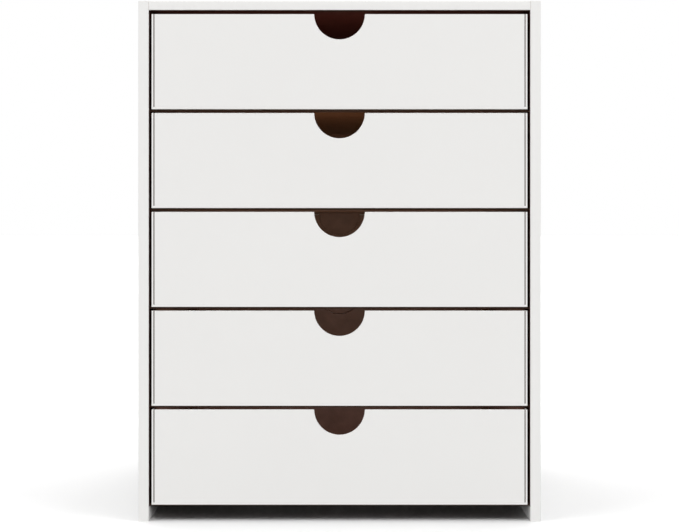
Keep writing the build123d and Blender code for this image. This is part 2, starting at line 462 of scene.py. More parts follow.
# How each layer of pressed fibres is turned, and the shade that leaves the board's colour as it is
FIBRE_TURNS = ((0.3, 0.5, 0.4), (1.1, 0.8, 1.7), (0.6, 2.2, 2.6), (2.0, 1.4, 0.9))
FIBRE_MIDDLE = 0.35
SAW_MARK_SHARE = 0.1

# How beech's bands and rays are drawn out along its grain, and its palest tone
BAND_STRETCH = (1.0, 1.0, 0.08)
RAY_STRETCH = (3200.0, 3200.0, 500.0)
PALEST_BEECH = 1.08

DARKEST_METAL = 0.86
METAL_TONE_CHANGE = 0.28
METAL_GLOSS_CHANGE = 0.3


def effect(name, build):
    """The shader node group of that name, built the first time that it is asked for."""
    return bpy.data.node_groups.get(name) or build(name)


def sprayed_film(name):
    """A sprayed coat: slow drift of tone and gloss, fine orange peel and a few dust nibs."""
    sheet, given, result = new_tree(
        name, "ShaderNodeTree",
        [("Place", VECTOR, None), ("Colour", COLOUR, GREY), ("Tone Change", VALUE, 0.03),
         ("Roughness", VALUE, 0.4), ("Gloss Change", VALUE, 0.08),
         ("Peel Size", VALUE, 0.0025), ("Peel Depth", VALUE, 0.00001)],
        [("Colour", COLOUR), ("Roughness", VALUE), ("Height", VALUE)],
    )
    drift = sheet.swing(given["Place"], scale=5.0, detail=3.0)
    cloud = sheet.swing(given["Place"], scale=38.0, detail=4.0)
    peel_scale = sheet.over(1.0, given["Peel Size"])
    peel = sheet.noise(given["Place"], peel_scale, detail=1.0)
    nib_inputs = {"Vector": given["Place"], "Scale": 24.0}
    nibs = sheet.place("ShaderNodeTexVoronoi", nib_inputs, feature="F1").outputs["Distance"]
    relief = sheet.add(peel, sheet.ramp(nibs, low=0.012, high=0.002))
    sheet.give(
        result, Colour=sheet.tinted(given["Colour"], sheet.times(drift, given["Tone Change"])),
        Roughness=sheet.add(given["Roughness"], sheet.times(cloud, given["Gloss Change"])),
        Height=sheet.times(relief, given["Peel Depth"]),
    )
    return sheet.tree


def thin_arris(name):
    """Paint drawn thin over an eased edge, so that a little of what is under it shows."""
    sheet, given, result = new_tree(
        name, "ShaderNodeTree",
        [("Place", VECTOR, None), ("Colour", COLOUR, GREY), ("Under Colour", COLOUR, GREY),
         ("Amount", VALUE, 0.1)],
        [("Colour", COLOUR)],
    )
    arris = sheet.place("ShaderNodeAttribute", attribute_name=ARRIS_ATTRIBUTE).outputs["Fac"]
    patches = sheet.ramp(sheet.noise(given["Place"], scale=160.0, detail=3.0), low=0.35, high=0.75)
    share = sheet.times(sheet.times(arris, patches), given["Amount"])
    sheet.give(result, Colour=sheet.blend(share, given["Colour"], given["Under Colour"]))
    return sheet.tree


def pressed_fibres(name):
    """Short wood fibres pressed flat in every direction, darker and lighter than the board."""
    sheet, given, result = new_tree(
        name, "ShaderNodeTree",
        [("Place", VECTOR, None), ("Colour", COLOUR, GREY), ("Contrast", VALUE, 0.3),
         ("Fibre Length", VALUE, 0.006), ("Fibre Width", VALUE, 0.0005), ("Fibre Depth", VALUE, 0.00001)],
        [("Colour", COLOUR), ("Height", VALUE)],
    )
    along = sheet.over(1.0, given["Fibre Length"])
    across = sheet.over(1.0, given["Fibre Width"])
    stretch = sheet.vector(along, across, across)
    layers = []
    for turn in FIBRE_TURNS:
        lie = sheet.stretched(sheet.rotated(given["Place"], turn), stretch)
        layers.append(sheet.noise(lie, scale=1.0, detail=1.0))
    pair_one = sheet.math("MAXIMUM", layers[0], layers[1])
    pair_two = sheet.math("MAXIMUM", layers[2], layers[3])
    fibre = sheet.ramp(sheet.math("MAXIMUM", pair_one, pair_two), low=0.52, high=0.82)
    cloud = sheet.noise(given["Place"], scale=60.0, detail=5.0)
    shade = sheet.ramp(cloud, low=0.3, high=0.7, low_result=-0.5, high_result=0.5)
    change = sheet.times(sheet.less(sheet.add(fibre, shade), FIBRE_MIDDLE), given["Contrast"])
    sheet.give(
        result, Colour=sheet.tinted(given["Colour"], change),
        Height=sheet.times(fibre, given["Fibre Depth"]),
    )
    return sheet.tree


def sawn_edge(name):
    """A cut board edge: open, fuzzy and crossed by fine saw marks."""
    sheet, given, result = new_tree(
        name, "ShaderNodeTree",
        [("Place", VECTOR, None), ("Colour", COLOUR, GREY), ("Contrast", VALUE, 0.3),
         ("Fuzz Depth", VALUE, 0.00004)],
        [("Colour", COLOUR), ("Height", VALUE)],
    )
    fuzz = sheet.noise(given["Place"], scale=2600.0, detail=3.0)
    marks = sheet.bands(given["Place"], "DIAGONAL", scale=90.0, distortion=7.0, detail=3.0)
    rough = sheet.add(sheet.times(fuzz, 1.0 - SAW_MARK_SHARE), sheet.times(marks, SAW_MARK_SHARE))
    change = sheet.times(sheet.less(rough, NOISE_MIDDLE), given["Contrast"])
    sheet.give(
        result, Colour=sheet.tinted(given["Colour"], change),
        Height=sheet.times(rough, given["Fuzz Depth"]),
    )
    return sheet.tree


def wood_grain(name):
    """Planed beech with its grain along Z: soft growth bands, short dark rays and open pores."""
    sheet, given, result = new_tree(
        name, "ShaderNodeTree",
        [("Place", VECTOR, None), ("Colour", COLOUR, GREY), ("Band Contrast", VALUE, 0.18),
         ("Ray Contrast", VALUE, 0.3), ("Grain Depth", VALUE, 0.00003)],
        [("Colour", COLOUR), ("Roughness", VALUE), ("Height", VALUE)],
    )
    band_lie = sheet.stretched(given["Place"], BAND_STRETCH)
    bands = sheet.bands(band_lie, "DIAGONAL", scale=140.0, distortion=2.5, detail=2.0)
    ray_lie = sheet.stretched(given["Place"], RAY_STRETCH)
    rays = sheet.ramp(sheet.noise(ray_lie, scale=1.0, detail=1.0), low=0.6, high=0.72)
    darker = sheet.add(
        sheet.times(bands, given["Band Contrast"]), sheet.times(rays, given["Ray Contrast"])
    )
    sheet.give(
        result, Colour=sheet.scaled(given["Colour"], sheet.less(PALEST_BEECH, darker)),
        Roughness=sheet.ramp(bands, low=0.0, high=1.0, low_result=0.5, high_result=0.6),
        Height=sheet.times(sheet.less(1.0, rays), given["Grain Depth"]),
    )
    return sheet.tree


def metal_skin(name):
    """Small differences of tone, gloss and level over plated or cast metal."""
    sheet, given, result = new_tree(
        name, "ShaderNodeTree",
        [("Place", VECTOR, None), ("Colour", COLOUR, GREY), ("Roughness", VALUE, 0.3),
         ("Grain Size", VALUE, 0.0004), ("Grain Depth", VALUE, 0.00001)],
        [("Colour", COLOUR), ("Roughness", VALUE), ("Height", VALUE)],
    )
    grain_scale = sheet.over(1.0, given["Grain Size"])
    grain = sheet.noise(given["Place"], grain_scale, detail=2.0)
    bloom = sheet.noise(given["Place"], scale=420.0, detail=3.0)
    tone = sheet.add(DARKEST_METAL, sheet.times(bloom, METAL_TONE_CHANGE))
    gloss = sheet.times(sheet.less(bloom, NOISE_MIDDLE), METAL_GLOSS_CHANGE)
    sheet.give(
        result, Colour=sheet.scaled(given["Colour"], tone),
        Roughness=sheet.add(given["Roughness"], gloss),
        Height=sheet.times(grain, given["Grain Depth"]),
    )
    return sheet.tree


# Finishes

WIRE_PRINT_DEPTH = 0.00016


class Finish:
    """A new material, with its sheet, its shader and its place on the piece."""

    def __init__(self, name):
        self.material = bpy.data.materials.new(name)
        self.material.use_nodes = True
        self.material.node_tree.nodes.clear()
        self.sheet = Sheet(self.material.node_tree)
        self.shader = self.sheet.place("ShaderNodeBsdfPrincipled")
        self.sheet.place("ShaderNodeOutputMaterial", {"Surface": self.shader.outputs["BSDF"]})
        self.place = self.sheet.place("ShaderNodeTexCoord").outputs["Object"]

    def add(self, name, build, **inputs):
        """Places a shared effect with its own values, named with underscores for spaces."""
        group = self.sheet.place("ShaderNodeGroup", node_tree=effect(name, build))
        self.sheet.give(group, Place=self.place, **inputs)
        return group.outputs

    def set(self, **inputs):
        """Sets or joins sockets of the shader, named with underscores for spaces."""
        self.sheet.give(self.shader, **inputs)

    def bump(self, height):
        """Feeds a height in metres to the shader's normal."""
        inputs = {"Height": height, "Distance": 1.0, "Strength": 1.0}
        node = self.sheet.place("ShaderNodeBump", inputs)
        self.set(Normal=node.outputs["Normal"])


def colour_of(name):
    """A colour from the finish settings, with its alpha."""
    return (*getattr(bpy.context.scene.chest_finishes, name), 1.0)


def finish(name, build):
    """The material of that name, built the first time that it is asked for."""
    found = bpy.data.materials.get(name)
    if found is None:
        made = Finish(name)
        build(made)
        found = made.material
    return found


def paint_white(made, roughness, peel_size, peel_depth, under):
    """The white of every board, over what shows at its arrises."""
    film = made.add("Sprayed film", sprayed_film, Colour=colour_of("white"), Tone_Change=0.02,
                    Roughness=roughness, Gloss_Change=0.09, Peel_Size=peel_size, Peel_Depth=peel_depth)
    worn = made.add("Thin arris", thin_arris, Colour=film["Colour"], Under_Colour=colour_of(under),
                    Amount=0.12)
    made.set(Base_Color=worn["Colour"], Roughness=film["Roughness"])
    made.bump(film["Height"])


def build_white_lacquer(made):
    paint_white(made, roughness=0.42, peel_size=0.0026, peel_depth=0.000012, under="sawn_fibreboard")


def build_white_hardboard(made):
    paint_white(made, roughness=0.38, peel_size=0.0018, peel_depth=0.000008, under="sawn_hardboard")


def build_brown_face(made):
    fibres = made.add("Pressed fibres", pressed_fibres, Colour=colour_of("brown"), Contrast=0.32,
                      Fibre_Length=0.007, Fibre_Width=0.0006, Fibre_Depth=0.000006)
    film = made.add("Sprayed film", sprayed_film, Colour=fibres["Colour"], Tone_Change=0.12,
                    Roughness=0.3, Gloss_Change=0.1, Peel_Size=0.004, Peel_Depth=0.00001)
    made.set(Base_Color=film["Colour"], Roughness=film["Roughness"], Coat_Weight=0.35,
             Coat_Roughness=0.14)
    made.bump(made.sheet.add(fibres["Height"], film["Height"]))


def build_screen_face(made):
    """The rough face of hardboard, with the print of the wire screen that it was pressed on."""
    sheet = made.sheet
    fibres = made.add("Pressed fibres", pressed_fibres, Colour=colour_of("brown"), Contrast=0.36,
                      Fibre_Length=0.005, Fibre_Width=0.0005, Fibre_Depth=0.00003)
    wires = []
    for turn in (0.0, math.pi / 2):
        lie = sheet.rotated(made.place, (0.0, turn, 0.0))
        wires.append(sheet.bands(lie, "X", scale=170.0, distortion=0.6, detail=1.0))
    wire_print = sheet.times(wires[0], wires[1])
    tone = sheet.ramp(wire_print, low=0.0, high=1.0, low_result=0.9, high_result=1.2)
    made.set(Base_Color=sheet.scaled(fibres["Colour"], tone), Roughness=0.82)
    made.bump(sheet.add(sheet.times(wire_print, WIRE_PRINT_DEPTH), fibres["Height"]))


def build_sawn_fibreboard(made):
    edge = made.add("Sawn edge", sawn_edge, Colour=colour_of("sawn_fibreboard"), Contrast=0.5,
                    Fuzz_Depth=0.00006)
    fibres = made.add("Pressed fibres", pressed_fibres, Colour=edge["Colour"], Contrast=0.22,
                      Fibre_Length=0.002, Fibre_Width=0.0003, Fibre_Depth=0.00003)
    made.set(Base_Color=fibres["Colour"], Roughness=0.88)
    made.bump(made.sheet.add(edge["Height"], fibres["Height"]))


def build_sawn_hardboard(made):
    edge = made.add("Sawn edge", sawn_edge, Colour=colour_of("sawn_hardboard"), Contrast=0.7,
                    Fuzz_Depth=0.00005)
    made.set(Base_Color=edge["Colour"], Roughness=0.85)
    made.bump(edge["Height"])


def build_upright_beech(made):
    """Beech with its grain along the finish's own Z."""
    grain = made.add("Wood grain", wood_grain, Colour=colour_of("beech"))
    made.set(Base_Color=grain["Colour"], Roughness=grain["Roughness"])
    made.bump(grain["Height"])


def build_crosswise_beech(made):
    """Beech with its grain along X, as the dowels lie."""
    made.place = made.sheet.rotated(made.place, (0.0, math.pi / 2, 0.0))
    build_upright_beech(made)


def build_zinc_plate(made):
    skin = made.add("Metal skin", metal_skin, Colour=colour_of("zinc_plate"), Roughness=0.24,
                    Grain_Size=0.0003, Grain_Depth=0.000003)
    made.set(Base_Color=skin["Colour"], Roughness=skin["Roughness"], Metallic=1.0)
    made.bump(skin["Height"])


def build_zinc_casting(made):
    skin = made.add("Metal skin", metal_skin, Colour=colour_of("zinc_casting"), Roughness=0.45,
                    Grain_Size=0.0006, Grain_Depth=0.00002)
    made.set(Base_Color=skin["Colour"], Roughness=skin["Roughness"], Metallic=1.0)
    made.bump(skin["Height"])


def build_floor_paint(made):
    """Pale for the camera, and darker for bounced light, so that what stands over it keeps its shade."""
    sheet = made.sheet
    film = made.add("Sprayed film", sprayed_film, Colour=colour_of("floor"), Tone_Change=0.01,
                    Roughness=0.7, Gloss_Change=0.05, Peel_Size=0.006, Peel_Depth=0.00001)
    seen = sheet.place("ShaderNodeLightPath").outputs["Is Camera Ray"]
    bounced = sheet.scaled(film["Colour"], FLOOR_BOUNCE)
    made.set(Base_Color=sheet.blend(seen, bounced, film["Colour"]), Roughness=film["Roughness"],
             Specular_IOR_Level=0.1)
    made.bump(film["Height"])


def case_board_finishes():
    return [finish("White lacquer", build_white_lacquer), finish("Brown face", build_brown_face),
            finish("Sawn fibreboard", build_sawn_fibreboard)]


def drawer_board_finishes():
    return [finish("White hardboard", build_white_hardboard), finish("Brown face", build_brown_face),
            finish("Sawn hardboard", build_sawn_hardboard)]


# Boards

def side_gaps(point, low, high):
    """How far a point is inside each of the six sides of a board's box."""
    return {
        "-x": point.x - low.x, "+x": high.x - point.x,
        "-y": point.y - low.y, "+y": high.y - point.y,
        "-z": point.z - low.z, "+z": high.z - point.z,
    }


def sides_near(point, low, high, reach):
    """The sides of a board's box that a point lies on."""
    return {side for side, gap in side_gaps(point, low, high).items() if gap < reach}


def ease_edges(shape, width, wanted):
    """Rounds over the sharp edges that pass a test, and marks the new faces as arrises."""
    mark = shape.faces.layers.float.get(ARRIS_ATTRIBUTE) or shape.faces.layers.float.new(ARRIS_ATTRIBUTE)
    sharp = [edge for edge in shape.edges
             if edge.is_manifold and edge.calc_face_angle() > EDGE_ANGLE and wanted(edge)]
    made = bmesh.ops.bevel(shape, geom=sharp, offset=width, offset_type="OFFSET",
                           segments=ARRIS_SEGMENTS, profile=ARRIS_PROFILE, affect="EDGES",
                           material=-1)
    for face in made["faces"]:
        face[mark] = 1.0


def ease_board(shape, arris, joint_arris, joint_sides):
    """Eases a board's edges: lightly on the sides where it meets another board, more elsewhere."""
    low, high = box_of([vertex.co for vertex in shape.verts])

    def at_joint(edge):
        middle = (edge.verts[0].co + edge.verts[1].co) / 2
        return bool(sides_near(middle, low, high, MERGE_DISTANCE) & set(joint_sides))

    def in_the_open(edge):
        return edge.calc_length() > SHORTEST_BOARD_EDGE and not at_joint(edge)

    def in_the_joint(edge):
        return edge.calc_length() > SHORTEST_BOARD_EDGE and at_joint(edge)

    ease_edges(shape, arris, in_the_open)
    ease_edges(shape, joint_arris, in_the_joint)


def finish_sides(shape, usual, others, inside):
    """Gives each face the finish of the side that it lies on: the usual one, but for the others.

    Faces on no side, such as those of holes and grooves, get the finish called inside.
    """
    low, high = box_of([vertex.co for vertex in shape.verts])
    for face in shape.faces:
        near = sides_near(face.calc_center_median(), low, high, SKIN)
        face.material_index = min((others.get(side, usual) for side in near), default=inside)


def repaint(shape, side, reach, finish_index):
    """Gives one side of a board a finish, together with its arrises within reach of that side."""
    low, high = box_of([vertex.co for vertex in shape.verts])
    for face in shape.faces:
        if side_gaps(face.calc_center_median(), low, high)[side] < reach:
            face.material_index = finish_index


def trim_ends(shape, gap):
    """Moves a board's two ends in along X, for an open joint."""
    low, high = box_of([vertex.co for vertex in shape.verts])
    for vertex in shape.verts:
        if vertex.co.x - low.x < MERGE_DISTANCE:
            vertex.co.x += gap
        elif high.x - vertex.co.x < MERGE_DISTANCE:
            vertex.co.x -= gap


def add_piece(mesh, name, node, smooth_angle):
    """A finished mesh as a piece that rides on its node's body and stands for the node."""
    mesh.shade_smooth()
    mesh.set_sharp_from_angle(angle=smooth_angle)
    piece = bpy.data.objects.new(name, mesh)
    bpy.context.scene.collection.objects.link(piece)
    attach(piece, BODY_OF[node])
    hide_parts(node)


def add_board(shape, name, node, finishes):
    """A finished board as a piece."""
    mesh = bpy.data.meshes.new(name)
    shape.to_mesh(mesh)
    shape.free()
    for material in finishes:
        mesh.materials.append(material)
    add_piece(mesh, name, node, BOARD_SMOOTH_ANGLE)


def side_facing(direction, axis):
    """Name of the side of a board that faces along an axis, or against it."""
    return ("+" if direction > 0 else "-") + axis


def add_side_panel(side_name, direction):
    """One side: white outside and beside the open base, and brown inside above it, as painted shade that
    darkens the gaps beside the drawers.
    """
    sizes = bpy.context.scene.chest_boards
    node = f"{side_name}_side_panel"
    shape = copied_shape(node)
    ease_board(shape, sizes.arris, sizes.joint_arris, [])
    base_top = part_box(SHELVES[-1])[0].z
    geometry = [*shape.verts, *shape.edges, *shape.faces]
    bmesh.ops.bisect_plane(shape, geom=geometry, plane_co=(0.0, 0.0, base_top), plane_no=(0.0, 0.0, 1.0))
    # Painted shade: the inner face is brown above the open base so that the gaps beside the drawers read
    # dark; beside the base it stays white.
    finish_sides(shape, FACE, {side_facing(-direction, "x"): INNER, "+y": RAW, "-z": RAW}, RAW)
    for face in shape.faces:
        if face.material_index == INNER and face.calc_center_median().z < base_top:
            face.material_index = FACE
    add_board(shape, f"{side_name}_side_board", node, case_board_finishes())


def add_top_panel():
    """The top: white above and in front, brown underneath, with an open hairline at each end."""
    sizes = bpy.context.scene.chest_boards
    shape = copied_shape("top_panel")
    trim_ends(shape, sizes.top_joint)
    ease_board(shape, sizes.arris, sizes.joint_arris, ["-x", "+x"])
    finish_sides(shape, RAW, {"+z": FACE, "-y": FACE, "-z": INNER}, RAW)
    add_board(shape, "top_board", "top_panel", case_board_finishes())


def add_rail(node):
    """A rail across the base, white on its four long faces."""
    sizes = bpy.context.scene.chest_boards
    shape = copied_shape(node)
    trim_ends(shape, sizes.top_joint)
    ease_board(shape, sizes.arris, sizes.joint_arris, ["-x", "+x"])
    finish_sides(shape, FACE, {"-x": RAW, "+x": RAW}, RAW)
    add_board(shape, f"{node}_board", node, case_board_finishes())


def add_back_panel():
    """The back: hardboard with its screen face outwards, drilled for its nails."""
    sizes = bpy.context.scene.chest_boards
    shape = copied_shape("back_panel")
    ease_board(shape, sizes.joint_arris, sizes.joint_arris, [])
    finish_sides(shape, RAW, {"+y": FACE, "-y": INNER}, RAW)
    finishes = [finish("Screen face", build_screen_face), finish("Brown face", build_brown_face),
                finish("Sawn hardboard", build_sawn_hardboard)]
    add_board(shape, "back_board", "back_panel", finishes)


def add_shelf(node):
    """A shelf: hardboard, brown above and below, sawn round its edges."""
    sizes = bpy.context.scene.chest_boards
    shape = copied_shape(node)
    ease_board(shape, sizes.joint_arris, sizes.joint_arris, [])
    finish_sides(shape, RAW, {"-z": INNER, "+z": INNER}, RAW)
    add_board(shape, f"{node}_board", node, drawer_board_finishes())


def notched_outline(low, high, radius, steps):
    """Outline of a drawer's front or back as (x, z), with a half-round notch in its rim."""
    middle = (low.x + high.x) / 2
    outline = [(low.x, low.z), (high.x, low.z), (high.x, high.z)]
    for step in range(steps + 1):
        angle = -math.pi * step / steps
        outline.append((middle + radius * math.cos(angle), high.z + radius * math.sin(angle)))
    outline.append((low.x, high.z))
    return outline


def add_drawer_end(node, outward):
    """A drawer's front or back: white outside, on its rim and in its notch, brown inside."""
    sizes = bpy.context.scene.chest_boards
    low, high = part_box(node)
    low.x += sizes.drawer_joint
    high.x -= sizes.drawer_joint
    shape = bmesh.new()
    outline = notched_outline(low, high, sizes.notch_radius, sizes.notch_steps)
    corners = [shape.verts.new((x, low.y, z)) for x, z in outline]
    plate = shape.faces.new(corners)
    grown = bmesh.ops.extrude_face_region(shape, geom=[plate])
    far_side = [item for item in grown["geom"] if isinstance(item, bmesh.types.BMVert)]
    bmesh.ops.translate(shape, verts=far_side, vec=(0.0, high.y - low.y, 0.0))
    bmesh.ops.recalc_face_normals(shape, faces=shape.faces)

    def on_foot(edge):
        return all(vertex.co.z - low.z < MERGE_DISTANCE for vertex in edge.verts)

    ease_edges(shape, sizes.drawer_arris, lambda edge: not on_foot(edge))
    ease_edges(shape, sizes.joint_arris, on_foot)
    finish_sides(shape, FACE, {side_facing(-outward, "y"): INNER, "-z": RAW}, FACE)
    for side in ("-x", "+x"):
        repaint(shape, side, sizes.drawer_arris, RAW)
    add_board(shape, f"{node}_board", node, drawer_board_finishes())


def add_drawer_wall(node, direction):
    """A drawer's side: white outside, on its ends and on its rim, brown inside."""
    sizes = bpy.context.scene.chest_boards
    shape = copied_shape(node)
    ease_board(shape, sizes.drawer_arris, sizes.joint_arris, ["-z"])
    finish_sides(shape, FACE, {"-z": RAW}, FACE)
    repaint(shape, side_facing(-direction, "x"), sizes.drawer_arris, INNER)
    add_board(shape, f"{node}_board", node, drawer_board_finishes())


def add_drawer_bottom(node):
    """A drawer's bottom: brown inside, white underneath and round its edges."""
    sizes = bpy.context.scene.chest_boards
    shape = copied_shape(node)
    ease_board(shape, sizes.joint_arris, sizes.joint_arris, [])
    finish_sides(shape, FACE, {"+z": INNER}, RAW)
    add_board(shape, f"{node}_board", node, drawer_board_finishes())


def posts_name(node):
    """Name of the piece that stands for a drawer's posts."""
    return f"{node}_planed"


def add_corner_posts(node):
    """The four beech posts of a drawer, eased all round."""
    sizes = bpy.context.scene.chest_boards
    shape = copied_shape(node)
    ease_edges(shape, sizes.arris, lambda edge: edge.calc_length() > SHORTEST_BOARD_EDGE)
    add_board(shape, posts_name(node), node, [finish("Upright beech", build_upright_beech)])


# Fittings

# Points nearer than this, in metres, become one
WELD_DISTANCE = 1e-6

# Corners round each fitting, and steps along each thread
NAIL_SEGMENTS = 20
POINTS_TO_A_FLUTE = 2.0
BOLT_SEGMENTS = 18
BOLT_THREAD_STEPS = 36
CAM_SEGMENTS = 40
SCREW_SEGMENTS = 14
SCREW_THREAD_STEPS = 56
SCREW_HEAD_SEGMENTS = 20

# Turns over which a threaded rod widens from its tip, and the share of its width at the tip
THREAD_POINT_TURNS = 2.0
THREAD_POINT_WIDTH = 0.12

# Depth of a thread, as a share of its outer radius
BOLT_THREAD_DEPTH = 0.28
SCREW_THREAD_DEPTH = 0.32

# How far a bolt's thread stands out past its shank, as a share of its collar's thickness
BOLT_THREAD_RISE = 1 / 3

# Width and height of the rings of a nail's head, as shares of the whole head
NAIL_DOME = ((1.0, 0.4), (0.82, 0.75), (0.5, 0.93), (0.0, 1.0))

# A cam bolt's rings, as shares of its shank's or its head's radius, and its eased edges in metres
BOLT_ROOT = 0.6
BOLT_ROOT_TOP = 0.95
BOLT_COLLAR_WIDTH = 0.98
BOLT_HEAD_BACK = 0.86
BOLT_HEAD_TIP = 0.72
BOLT_NECK_EASE = 0.0003
BOLT_HEAD_EASE = 0.0005
BOLT_TIP_EASE = 0.0006

# Length of the arms of a cross recess by the head's radius, and their depth by its height.
# Half of the depth is in the metal.
BOLT_CROSS = (1.1, 0.8)
BOLT_CROSS_WIDTH = 0.0007
CAM_CROSS = (1.18, 0.32)
SCREW_CROSS = (1.14, 1.15)

# The mark on a cam that shows which way its channel faces
CAM_MARK_PLACE = 0.78
CAM_MARK_RADIUS = 0.0009
CAM_MARK_DEPTH = 0.0008

# A drawer screw's rings, as shares of its head's or its thread's radius and of its head's height
SCREW_RIM = 0.97
SCREW_RIM_HEIGHT = 0.12
SCREW_CORE = 0.8
SCREW_NECK_HEIGHT = 1.4
SCREW_THREAD_START = 0.6


def turned(sheet, rings, segments):
    """A turned piece about Z: a cylinder whose rings take the given radii and heights."""
    steps = len(rings) - 1
    blank_inputs = {"Vertices": segments, "Side Segments": steps, "Radius": 1.0, "Depth": float(steps)}
    blank = sheet.place("GeometryNodeMeshCylinder", blank_inputs)
    place = sheet.parts(sheet.place("GeometryNodeInputPosition").outputs[0])
    profile = sheet.place("GeometryNodeIndexSwitch", data_type="VECTOR")
    while len(profile.index_switch_items) < len(rings):
        profile.index_switch_items.new()
    sheet.feed(profile.inputs["Index"], sheet.math("ROUND", sheet.add(place["Z"], steps / 2)))
    for number, (radius, height) in enumerate(rings):
        sheet.feed(profile.inputs[number + 1], sheet.vector(x=radius, z=height))
    ring = sheet.parts(profile.outputs[0])
    x, y = sheet.times(place["X"], ring["X"]), sheet.times(place["Y"], ring["X"])
    shaped_inputs = {"Geometry": blank.outputs["Mesh"], "Position": sheet.vector(x, y, ring["Z"])}
    shaped = sheet.place("GeometryNodeSetPosition", shaped_inputs)
    whole_inputs = {"Geometry": shaped.outputs[0], "Distance": WELD_DISTANCE}
    return sheet.place("GeometryNodeMergeByDistance", whole_inputs).outputs[0]


def threaded(sheet, radius, depth, pitch, length, segments, steps):
    """A threaded rod from its tip at height 0 to its length, with a helical ridge."""
    blank_inputs = {"Vertices": segments, "Side Segments": steps, "Radius": 1.0, "Depth": 1.0}
    blank = sheet.place("GeometryNodeMeshCylinder", blank_inputs)
    place = sheet.parts(sheet.place("GeometryNodeInputPosition").outputs[0])
    share = sheet.add(place["Z"], 0.5)
    height = sheet.times(share, length)
    turn = sheet.over(sheet.math("ARCTAN2", place["Y"], place["X"]), math.tau)
    phase = sheet.math("FRACT", sheet.less(sheet.over(height, pitch), turn))
    ridge = sheet.less(1.0, sheet.math("ABSOLUTE", sheet.less(sheet.times(phase, 2.0), 1.0)))
    point_length = sheet.times(pitch, THREAD_POINT_TURNS)
    point = sheet.math("MINIMUM", sheet.over(height, point_length), 1.0)
    near_top = sheet.math("MINIMUM", sheet.over(sheet.less(length, height), pitch), 1.0)
    grown = sheet.times(sheet.times(ridge, near_top), depth)
    taper = sheet.add(THREAD_POINT_WIDTH, sheet.times(point, 1.0 - THREAD_POINT_WIDTH))
    across = sheet.times(sheet.add(sheet.less(radius, depth), grown), taper)
    x, y = sheet.times(place["X"], across), sheet.times(place["Y"], across)
    inputs = {"Geometry": blank.outputs["Mesh"], "Position": sheet.vector(x, y, height)}
    return sheet.place("GeometryNodeSetPosition", inputs).outputs[0]


def moved(sheet, shape, way, turn=(0.0, 0.0, 0.0)):
    """A shape turned about the origin and then moved."""
    inputs = {"Geometry": shape, "Rotation": turn, "Translation": way}
    return sheet.place("GeometryNodeTransform", inputs).outputs[0]


def block(sheet, size, middle):
    """A box of a size about a middle, both vectors."""
    cube = sheet.place("GeometryNodeMeshCube", {"Size": size}).outputs["Mesh"]
    return moved(sheet, cube, middle)


def cross(sheet, length, width, depth, middle):
    """The two arms of a cross recess about a middle, as solids to cut away."""
    arms = ((length, width, depth), (width, length, depth))
    return [block(sheet, sheet.vector(*arm), middle) for arm in arms]


def joined(sheet, *shapes):
    """One solid from several that overlap."""
    union = sheet.place("GeometryNodeMeshBoolean", operation="UNION", solver="EXACT")
    for shape in shapes:
        sheet.feed(union.inputs["Mesh 2"], shape)
    return union.outputs["Mesh"]


def cut_away(sheet, body, *cutters):
    """A solid less some others."""
    cut = sheet.place("GeometryNodeMeshBoolean", {"Mesh 1": body}, operation="DIFFERENCE", solver="EXACT")
    for cutter in cutters:
        sheet.feed(cut.inputs["Mesh 2"], cutter)
    return cut.outputs["Mesh"]


def set_out(sheet, given, result, fitting, rotation):
    """Sets one fitting on every seat, turned by three angles, makes it real and finishes it."""
    turn = sheet.place("FunctionNodeEulerToRotation", {"Euler": rotation}).outputs[0]
    inputs = {"Points": given["Seats"], "Instance": fitting, "Rotation": turn}
    seated = sheet.place("GeometryNodeInstanceOnPoints", inputs).outputs[0]
    real = sheet.place("GeometryNodeRealizeInstances", {"Geometry": seated}).outputs[0]
    finished = sheet.place("GeometryNodeSetMaterial", {"Geometry": real, "Material": given["Finish"]})
    sheet.feed(result.inputs["Fittings"], finished.outputs[0])
    sheet.tree.is_modifier = True
    return sheet.tree


def fitting_tree(name, sizes):
    """An empty Geometry Nodes tree for a fitting, with its sizes as named inputs."""
    inputs = [("Seats", GEOMETRY, None)]
    inputs += [(label, WHOLE if isinstance(value, int) else VALUE, value) for label, value in sizes.items()]
    inputs.append(("Finish", MATERIAL, None))
    return new_tree(name, "GeometryNodeTree", inputs, [("Fittings", GEOMETRY)])


def random_turn(sheet, seed):
    """A different angle for every seat."""
    turn = sheet.place("FunctionNodeRandomValue", {"Seed": seed}, data_type="FLOAT")
    lowest, highest = [socket for socket in turn.inputs if socket.enabled and socket.type == "VALUE"]
    sheet.feed(lowest, 0.0)
    sheet.feed(highest, math.tau)
    return next(socket for socket in turn.outputs if socket.enabled)


def side_of_seat(sheet):
    """Minus one for a seat on the left and one for a seat on the right."""
    place = sheet.parts(sheet.place("GeometryNodeInputPosition").outputs[0])
    return sheet.math("SIGN", place["X"])


def nail_tree(sizes):
    """Nails with low domed heads, driven in along -Y from each seat."""
    sheet, given, result = fitting_tree("Back panel nail", sizes)
    radius = given["Head Radius"]
    head = given["Head Height"]
    shank = given["Shank Radius"]
    tip = sheet.times(given["Length"], -1.0)
    rings = [
        (0.0, tip),
        (shank, sheet.add(tip, given["Point Length"])),
        (shank, 0.0),
        (radius, 0.0),
    ]
    rings += [(sheet.times(radius, across), sheet.times(head, up)) for across, up in NAIL_DOME]
    nail = turned(sheet, rings, NAIL_SEGMENTS)
    spin = random_turn(sheet, given["Seed"])
    return set_out(sheet, given, result, nail, sheet.vector(x=-math.pi / 2, y=spin))


